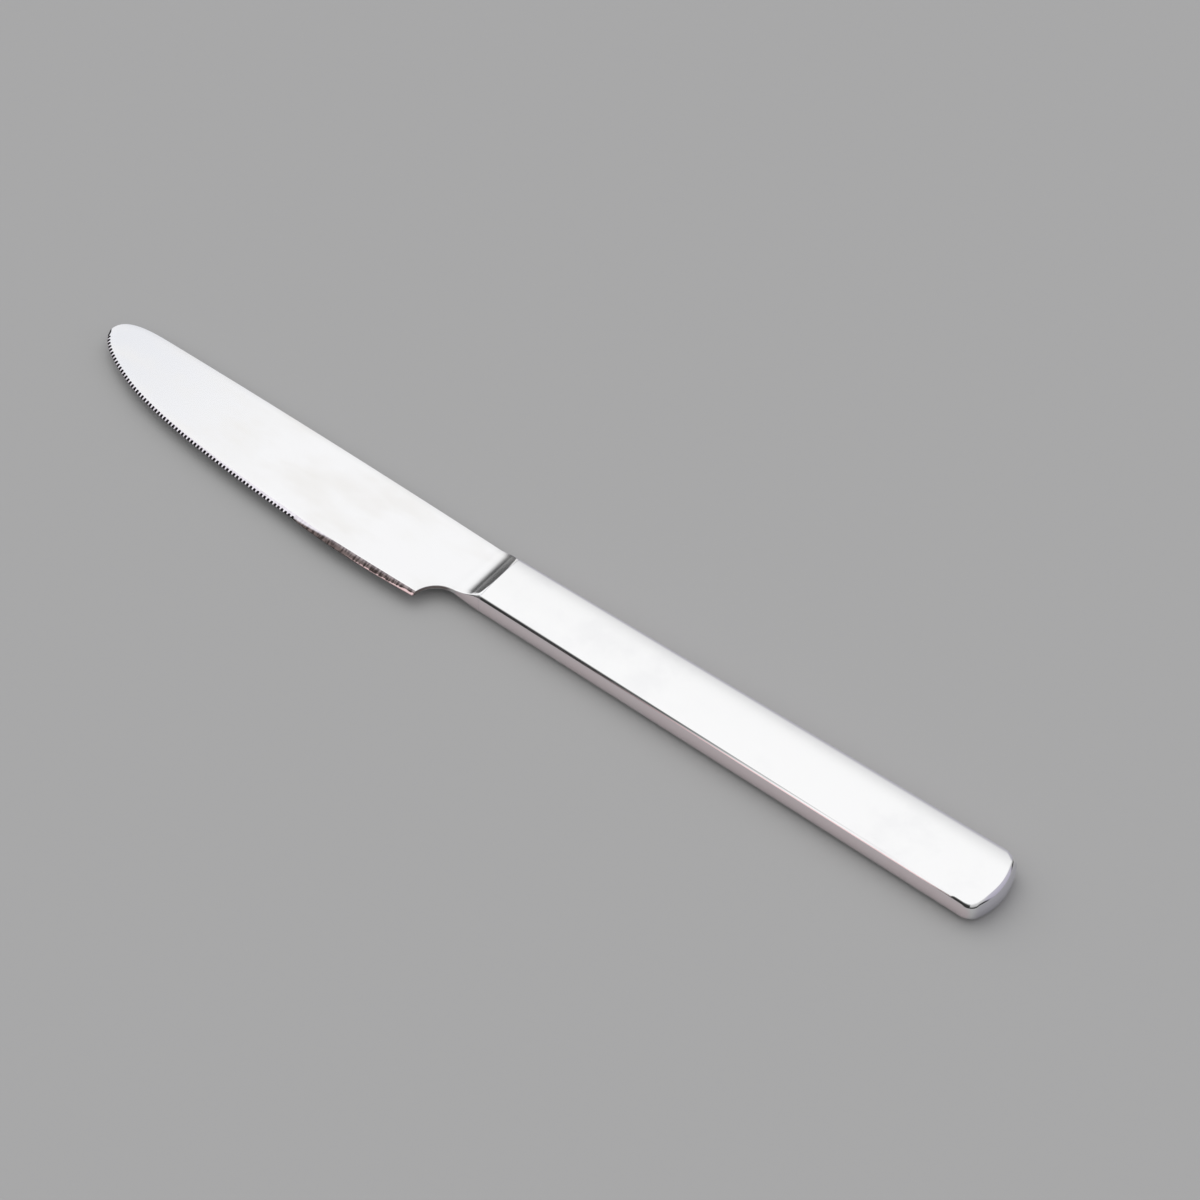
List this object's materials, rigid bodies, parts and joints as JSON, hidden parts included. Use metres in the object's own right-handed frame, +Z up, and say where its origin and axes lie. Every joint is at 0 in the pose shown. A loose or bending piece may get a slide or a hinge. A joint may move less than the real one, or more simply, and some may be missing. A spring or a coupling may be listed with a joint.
{
  "type": "table knife",
  "caption": "Hollow-handle table knife with a rounded, finely serrated blade, a hollow choil and a stepped bolster, lying flat on its handle.",
  "frame": {"origin": "middle of the bounding box, on the table that the handle lies on", "axes": "+X from the blade's tip to the butt, +Y to the spine, -Y to the cutting edge, +Z up"},
  "size_m": [0.237, 0.0222, 0.0062],
  "materials": {
    "blade_steel": "fine satin, nearly mirror, ground edge bevels with cross scratches",
    "shell_steel": "mirror polished",
    "braze": "as run",
    "cement": "cast, dull"
  },
  "bodies": {
    "root": {"blade": "blade_steel", "handle_shell_upper": "shell_steel", "handle_shell_lower": "shell_steel", "seam_braze": "braze", "tang_cement": "cement"}
  },
  "joints": []
}
